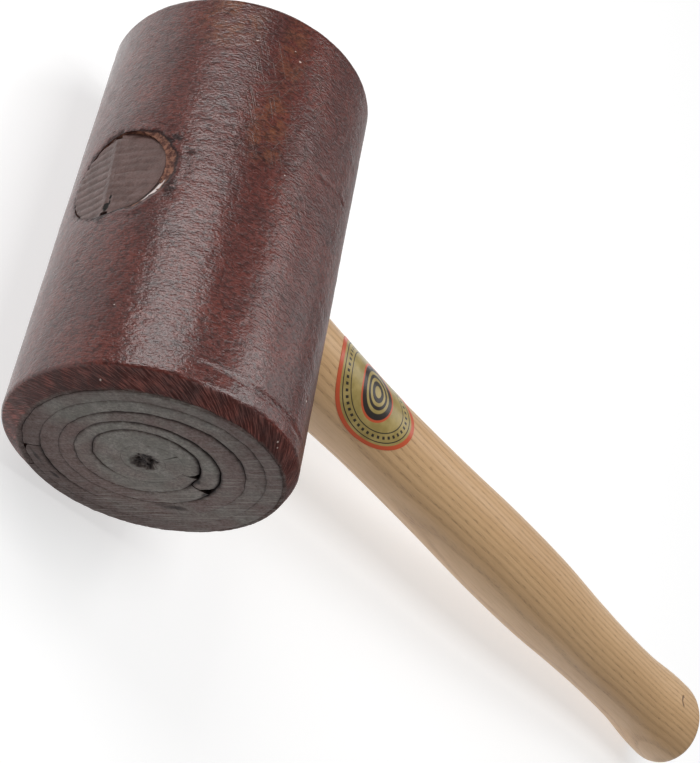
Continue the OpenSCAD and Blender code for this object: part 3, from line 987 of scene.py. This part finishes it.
def lacquered_hide():
    """The wall: hide under a dark red-brown lacquer, sanded across the chamfers, worn at the faces."""
    s = Shader("lacquer_over_hide")
    point = s.head_frame()
    wall, arc, y, out = unrolled(s, point)
    below = s.minus(FACE_Y, s.math("ABSOLUTE", y))
    chamfer_edge = s.plus(below, s.times(s.noise(point, 2.0, 3), 0.5))
    on_chamfer = s.ramp(chamfer_edge, CHAMFER + 0.35, CHAMFER - 0.15)
    face_edge = s.plus(below, s.times(s.noise(point, 1.5, 3), 0.6))
    on_face = s.times(s.ramp(face_edge, 1.0, 0.45), s.ramp(out, HEAD_R - 1.2, HEAD_R - 1.8))
    grain, lines = hide_grain(s, wall)
    chamfer, marks = sanded_color(s, arc, out)
    scraped, stain_and_shade, raw = scrape(s, point, below, out)
    rim_gap_shade, lip = rim_gap_shade_and_glint(s, point)
    smudge_and_shade_mask = smudge_and_shade(s, point, wall)

    color = s.mix(s.times(lines, 0.42), lacquer_color(s, wall), (0.32, 0.18, 0.14))
    # the creases of the grain darkened: painted shade, and dirt held in them
    color = s.mix(s.times(s.ramp(grain, 0.17, 0.07), 0.55), color, (0.018, 0.006, 0.005))
    # stain and painted shade at the scrape's edge
    color = s.mix(stain_and_shade, color, (0.022, 0.008, 0.007))
    # smudges and painted shade beside the eye's rim
    color = s.mix(s.times(smudge_and_shade_mask, 0.85), color, (0.014, 0.006, 0.006))
    color = s.mix(scraped, color, raw)
    # painted shade in the gap beside the tenon
    color = s.mix(s.times(rim_gap_shade, 0.9), color, (0.014, 0.007, 0.006))
    # a painted glint along the eye's lip
    color = s.mix(s.times(lip, 0.9), color, (0.8, 0.72, 0.7))
    color = s.mix(on_chamfer, color, chamfer)
    for at, along, size in CHIPS:
        color = s.mix(s.spot(wall, at, size * 0.45, (along, size * 0.3), 0.5), color, (0.62, 0.5, 0.45))
    color = s.mix(on_face, color, worn_face_color(s, point, out))

    off_end = s.minus(1.0, s.most(on_chamfer, on_face))
    height = s.plus(s.times(grain, off_end), s.times(marks, on_chamfer, 0.5))
    swell = s.noise(wall, 2.3, 1, 0.4, stretch=(1.2, 1, 1))
    skin = s.bump(s.plus(height, s.times(swell, 0.9)), 0.0003, 0.46)
    # handling has dulled the side towards the grip
    rubbed = s.times(s.ramp(arc, 6.0, -6.0), s.ramp(arc, -36.0, -22.0))
    gloss = s.plus(s.ramp(s.noise(wall, 4.0, 3), 0.3, 0.7, 0.27, 0.38), s.times(rubbed, 0.25))
    dull = s.plus(s.times(s.most(on_chamfer, scraped), 0.2), s.times(on_face, 0.1))
    bare = s.most(on_face, scraped, stain_and_shade, rim_gap_shade, s.times(smudge_and_shade_mask, 0.7))
    thin = s.most(s.times(on_chamfer, 0.85), s.times(rubbed, 0.6), s.ramp(arc, 66.0, 82.0, 0.0, 0.2))
    full = s.plus(s.times(s.spot(wall, 102, 9, (-54, 22)), 0.25), 0.75)
    coat = s.times(s.math("SUBTRACT", full, bare, clamp=True), s.minus(1.0, thin))
    return s.finish(color, s.math("ADD", gloss, dull, clamp=True), s.bump(height, 0.0003), Coat_Weight=coat,
                    Coat_Normal=skin, Coat_Roughness=0.2, Specular_IOR_Level=0.18)


def ash():
    """Ash: growth rings stacked along the head's axis, fine pores along the handle, satin varnish."""
    s = Shader("varnished_ash")
    point = s.head_frame()
    x, y, z = s.split(point)
    sway = s.noise(point, 60.0, stretch=(2.2, 1, 1))
    drift = s.noise(point, 14.0, stretch=(5, 1, 1))
    rings = s.plus(y, s.times(z, z, 0.011), s.times(s.minus(sway, 0.5), 4.5))
    rings = s.plus(rings, s.times(s.minus(drift, 0.5), 0.9))
    phase = s.math("FRACT", s.math("DIVIDE", rings, RING_SPACING))
    early = s.times(s.ramp(phase, 0.0, 0.16), s.ramp(phase, 0.62, 0.2))
    fibre = s.noise(point, 0.5, 3, 0.6, stretch=(28, 1, 1))
    pore = s.ramp(s.noise(point, 0.36, stretch=(9, 1, 1)), 0.54, 0.66)
    pore = s.times(pore, s.plus(s.times(early, 0.85), 0.15))
    broad = s.ramp(s.noise(point, 22.0, stretch=(6, 1, 1)), 0.3, 0.7)
    pale = s.mix(broad, (0.6, 0.371, 0.184), (0.72, 0.468, 0.249))
    dark = s.mix(broad, (0.41, 0.22, 0.093), (0.485, 0.282, 0.132))
    color = s.mix(s.times(early, 0.46), pale, dark)
    color = s.mix(s.times(s.ramp(fibre, 0.42, 0.66), 0.2), color, (0.42, 0.245, 0.118))
    color = s.mix(s.times(pore, 0.42), color, (0.24, 0.125, 0.06))
    # the grip's side towards the front face darkened: painted shade
    side = s.times(s.ramp(s.plus(y, s.times(sway, 3.0)), -8.6, -11.4), 0.18)
    color = s.mix(side, color, (0.36, 0.195, 0.085))
    # a shallow curved dent on top of the butt, where something hard has struck it
    off_x, off_y = s.minus(x, DENT_AT[0]), s.minus(y, DENT_AT[1])
    dent = s.ramp(s.gap(s.length(off_x, off_y), DENT_R), 0.7, 0.3)
    dent = s.times(dent, s.ramp(off_x, 0.2, -1.0), s.ramp(z, 5.0, 8.0))
    color = s.mix(s.times(dent, 0.8), color, (0.13, 0.065, 0.032))
    height = s.plus(s.times(fibre, 0.35), s.times(pore, -0.8), s.times(dent, -3.0))
    roughness = s.ramp(fibre, 0.3, 0.7, 0.36, 0.48)
    return s.finish(color, roughness, s.bump(height, 0.00016, 0.5), Coat_Weight=0.12, Coat_Roughness=0.3)


def end_grain(name, light, dark):
    """Wood's end grain under the lacquer, pale on the rasp's ridges and darker in its grooves, where shade
    is painted.
    """
    s = Shader(name)
    point = s.head_frame()
    speck = s.ramp(s.noise(point, 0.5, 3, 0.7), 0.4, 0.7)
    patch = s.ramp(s.noise(point, 4.0, 3, 0.6), 0.35, 0.65)
    color = s.mix(s.times(speck, 0.35), s.mix(patch, light, dark), (0.04, 0.018, 0.014))
    # painted shade in the rasp's grooves
    grooves = s.ramp(s.painted("groove"), 0.15, 0.85)
    color = s.mix(s.times(grooves, 0.85), color, (0.06, 0.028, 0.018))
    # the chip beside the kerf painted near black: painted shade in the hollow
    hollow = s.ramp(s.painted("dirt"), 0.2, 0.5)
    color = s.mix(hollow, color, (0.006, 0.004, 0.003))
    # wood further inside the eye painted near black: painted shade
    inside = s.ramp(s.split(point)[0], -HEAD_R + 3.4, -HEAD_R + 4.2)
    color = s.mix(inside, color, (0.012, 0.008, 0.006))
    roughness = s.plus(s.ramp(speck, 0, 1, 0.32, 0.46), s.times(hollow, 0.5))
    return s.finish(color, roughness, s.bump(s.noise(point, 0.7, 3, 0.7), 0.00025, 0.5))


def foil():
    """The printed label: a gold oval with a red rim, thin dark ovals, ticks and a disc with gold rings."""
    s = Shader("printed_foil")
    u, v, _ = s.split(s.node("ShaderNodeUVMap", {"uv_map": "print"}).outputs[0])
    across, up = s.math("DIVIDE", u, LABEL_L / 2), s.math("DIVIDE", v, LABEL_W / 2)
    from_middle, share = s.length(u, v), s.length(across, up)
    turn = s.math("ARCTAN2", up, across)
    point = s.head_frame()
    shade = s.ramp(s.noise(point, 5.0, 3, 0.6), 0.3, 0.7)
    gold = s.mix(shade, (0.33, 0.245, 0.075), (0.46, 0.35, 0.13))
    ink, red = (0.03, 0.022, 0.018), (0.58, 0.095, 0.035)

    def disc(radius):
        return s.ramp(from_middle, radius + 0.12, radius - 0.12)

    def ring(radius):
        return s.ramp(s.gap(from_middle, radius), 0.5 + 0.12, 0.5 - 0.12)

    def oval(at, width):
        return s.ramp(s.gap(share, at), width, width * 0.6)

    ticks = s.times(s.ramp(s.math("SINE", s.times(turn, 44.0)), 0.0, 0.3), oval(0.775, 0.035))
    printed = [(oval(0.865, 0.012), ink), (ticks, ink), (oval(0.69, 0.012), ink), (disc(8.6), red),
               (disc(7.9), ink), (ring(5.6), gold), (ring(3.6), gold), (disc(1.7), gold),
               (s.ramp(share, 0.915, 0.925), red)]
    color = gold
    for where, tint in printed:
        color = s.mix(where, color, tint)
    normal = s.bump(s.noise(point, 1.4, 3, 0.6), 0.00012, 0.35)
    return s.finish(color, s.ramp(shade, 0, 1, 0.32, 0.42), normal, Coat_Weight=0.2, Coat_Roughness=0.2)


def studio_floor():
    """A plain pale sheet that glows with painted light round the mallet, which washes out the shadows
    there, falling away to grey well outside it.
    """
    s = Shader("studio_floor")
    coord = s.node("ShaderNodeTexCoord").outputs["Object"]
    outside = [s.most(s.minus(s.gap(value, middle), half), 0.0)
               for value, middle, half in zip(s.split(coord), GLOW_MIDDLE, GLOW_HALF)]
    glowing = s.ramp(s.length(*outside), GLOW_FADE, 0.0)
    pale = s.mix(s.noise(coord, 0.5), (0.49, 0.49, 0.49), (0.51, 0.51, 0.51))
    # painted light: paler and glowing inside the rectangle, grey and glowing faintly outside it
    tone = s.mix(glowing, (0.26, 0.26, 0.26), pale)
    painted_glow = s.mix(glowing, (0.14, 0.14, 0.14), (1, 1, 1))
    return s.finish(tone, 0.9, s.bump(s.noise(coord, 0.004), 0.00001, 0.1), Emission_Color=painted_glow,
                    Emission_Strength=0.6)


# ---- Assembly ----

def fit_piece(obj, material, slot, *nodes):
    """Finishes a piece and puts it in the place of its CAD nodes."""
    fix_normals(obj)
    obj.data.set_sharp_from_angle(angle=SHARP_FROM)
    obj.data.materials.clear()
    obj.data.materials.append(material)
    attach(obj, "root")
    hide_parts(*nodes)
    return obj


def split_severed(name, index, side):
    """A strip that the eye has cut in two: the part on one side of it."""
    return cut(hide_strip(name, index), half_space(-side))


def build():
    face = worn_hide()
    for side, where in ((-1, "front"), (1, "rear")):
        core = core_roll(f"coil_core_{where}", side)
        fit_piece(paint_face(core), face, "worn_hide", f"core_roll_{where}")
        first = split_severed(f"coil_first_{where}", 0, side)
        fit_piece(paint_face(first), face, "worn_hide", f"hide_strip_1_{where}")
    for index in range(1, 5):
        strip = hide_strip(f"coil_strip_{index + 1}", index)
        fit_piece(paint_face(strip), face, "worn_hide", f"hide_strip_{index + 1}")
    fit_piece(paint_face(hide_wrap("coil_wrap")), lacquered_hide(), "lacquered_hide", "hide_strip_6")
    stick = fit_piece(handle("ash_handle"), ash(), "ash", "handle")
    trimmed = end_grain("lacquered_end_grain", (0.145, 0.08, 0.07), (0.095, 0.046, 0.038))
    stick.data.materials.append(trimmed)
    for polygon in stick.data.polygons:
        if polygon.center.x / MM < -EYE_R * 2:
            polygon.material_index = 1
    paint_rasp(stick)
    driven = end_grain("wedge_end_grain", (0.15, 0.088, 0.078), (0.1, 0.052, 0.044))
    paint_rasp(fit_piece(wedge("driven_wedge"), driven, "wedge_wood", "wedge"), 0.4)
    fit_piece(label("foil_label"), foil(), "label_foil", "label")


def floor():
    x, y = np.array([(-1, -1), (1, -1), (1, 1), (-1, 1)]).T * FLOOR_HALF
    obj = make_mesh("floor", xyz(x, y, CAD_LOW.z - FLOOR_GAP), [(0, 1, 2, 3)])
    obj.data.materials.append(studio_floor())


def softbox(name, direction, distance, size, radiance, middle=(0.02, 0.06, 0.0)):
    """An area light that faces the head from that direction. Its size is round the head, then along it."""
    data = bpy.data.lights.new(name, "AREA")
    data.shape = "RECTANGLE"
    data.size, data.size_y = size
    data.energy = radiance * math.pi * size[0] * size[1]
    light = bpy.data.objects.new(name, data)
    bpy.context.scene.collection.objects.link(light)
    towards = Vector(direction).normalized()
    along = (Vector((0, 1, 0)) - towards * towards.y).normalized()
    turned = Matrix((along.cross(towards), along, towards)).transposed()
    light.matrix_world = Matrix.Translation(Vector(middle) + towards * distance) @ turned.to_4x4()


def lights():
    world = bpy.data.worlds.new("studio")
    bpy.context.scene.world = world
    world.use_nodes = True
    background = world.node_tree.nodes["Background"]
    background.inputs["Color"].default_value = (1, 1, 1, 1)
    background.inputs["Strength"].default_value = 0.12
    softbox("key_left", (-0.725, 0.454, 0.518), 1.5, (0.98, 0.55), 6.6)
    softbox("key_right", (0.273, 0.47, 0.84), 1.5, (0.42, 0.5), 4.4)
    softbox("low_right", (0.66, 0.47, 0.59), 1.5, (0.85, 0.5), 1.5)
    softbox("overhead", (-0.05, 0.02, 0.95), 0.85, (0.52, 0.34), 6.0, middle=(0.0, 0.06, 0.0))


def camera():
    """The camera looks down on the mallet from the far side of its front face, rolled well over."""
    data = bpy.data.cameras.new("camera")
    data.lens = 70.49
    data.sensor_width = 36.0
    data.clip_start, data.clip_end = 0.01, 20
    cam = bpy.data.objects.new("camera", data)
    bpy.context.scene.collection.objects.link(cam)
    eye = Vector(place(CAMERA_EYE))
    look = (eye - Vector(place(CAMERA_AIM))).to_track_quat("Z", "Y").to_matrix()
    cam.matrix_world = Matrix.Translation(eye) @ (look @ Matrix.Rotation(CAMERA_ROLL, 3, "Z")).to_4x4()
    bpy.context.scene.camera = cam


camera()
lights()
floor()
build()
bpy.context.scene.view_settings.view_transform = "Standard"
